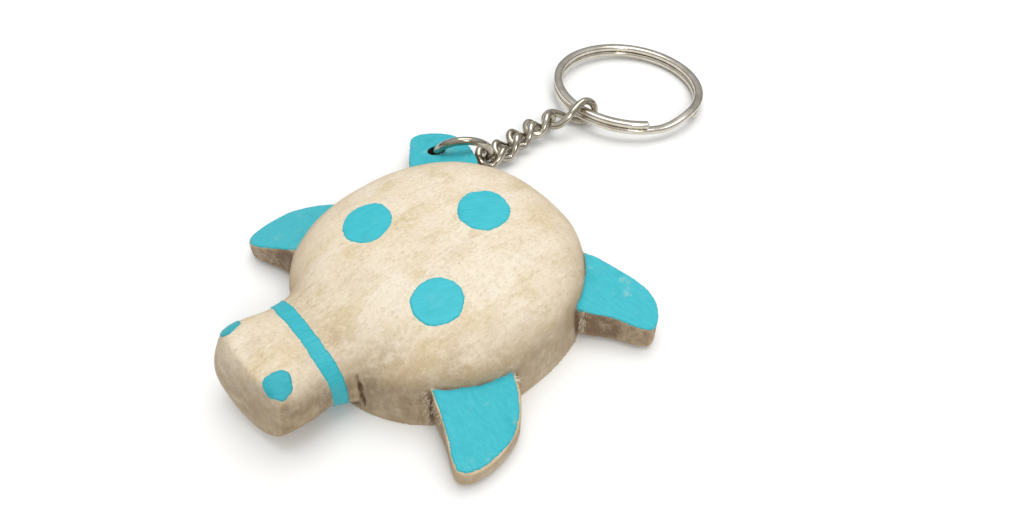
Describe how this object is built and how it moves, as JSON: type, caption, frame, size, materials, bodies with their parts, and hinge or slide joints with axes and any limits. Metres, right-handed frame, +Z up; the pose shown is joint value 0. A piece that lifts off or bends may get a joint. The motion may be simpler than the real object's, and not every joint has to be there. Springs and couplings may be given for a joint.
{
  "type": "keychain",
  "caption": "Keychain with a flat carved turtle charm, a jump ring through a hind flipper, a twisted curb chain and a double-coil split ring for keys.",
  "frame": {"origin": "on the resting plane, under the middle of the turtle's shell", "axes": "+Z up from the belly to the top of the shell; -Y the way the turtle's head looks; +X the turtle's left side; the chain leads towards +Y"},
  "size_m": [0.049, 0.0916, 0.0116],
  "materials": {
    "whitewashed_wood": "hand carved, sanded and whitewashed, matt",
    "turquoise_paint": "brushed acrylic paint, satin",
    "nickel_plate": "nickel plated steel wire, bright"
  },
  "bodies": {
    "turtle": {"turtle_body": "whitewashed_wood", "paint_shell_spots": "turquoise_paint", "paint_flippers": "turquoise_paint", "paint_collar": "turquoise_paint", "paint_eyes": "turquoise_paint"},
    "jump_ring": {"jump_ring": "nickel_plate"},
    "link_1": {"chain_link_1": "nickel_plate"},
    "link_2": {"chain_link_2": "nickel_plate"},
    "link_3": {"chain_link_3": "nickel_plate"},
    "link_4": {"chain_link_4": "nickel_plate"},
    "end_link": {"chain_link_5": "nickel_plate"},
    "split_ring": {"split_ring": "nickel_plate"}
  },
  "joints": [
    {"name": "jump_ring_swing", "type": "hinge", "parent": "turtle", "child": "jump_ring", "pos_m": [-0.01885, 0.0145, 0.00355], "axis": [0, 0, 1], "range_deg": [-14, 20]},
    {"name": "link_1_swing", "type": "hinge", "parent": "jump_ring", "child": "link_1", "pos_m": [-0.01469, 0.02059, 0.00266], "axis": [0, 0, -1], "range_deg": [-20, 30]},
    {"name": "link_2_swing", "type": "hinge", "parent": "link_1", "child": "link_2", "pos_m": [-0.01481, 0.02342, 0.00198], "axis": [0, 0, 1], "range_deg": [-28, 6]},
    {"name": "link_3_lift", "type": "hinge", "parent": "link_2", "child": "link_3", "pos_m": [-0.01534, 0.02632, 0.00197], "axis": [0.9986, 0.0523, 0], "range_deg": [0, 27]},
    {"name": "link_4_swing", "type": "hinge", "parent": "link_3", "child": "link_4", "pos_m": [-0.01551, 0.03135, 0.00212], "axis": [0, 0, -1], "range_deg": [-36, 36]},
    {"name": "end_link_lift", "type": "hinge", "parent": "link_4", "child": "end_link", "pos_m": [-0.01557, 0.03366, 0.00217], "axis": [0.891, -0.454, 0], "range_deg": [0, 24]},
    {"name": "split_ring_lift", "type": "hinge", "parent": "end_link", "child": "split_ring", "pos_m": [-0.01202, 0.03919, 0.0028], "axis": [0.891, -0.454, 0], "range_deg": [0, 22]}
  ]
}
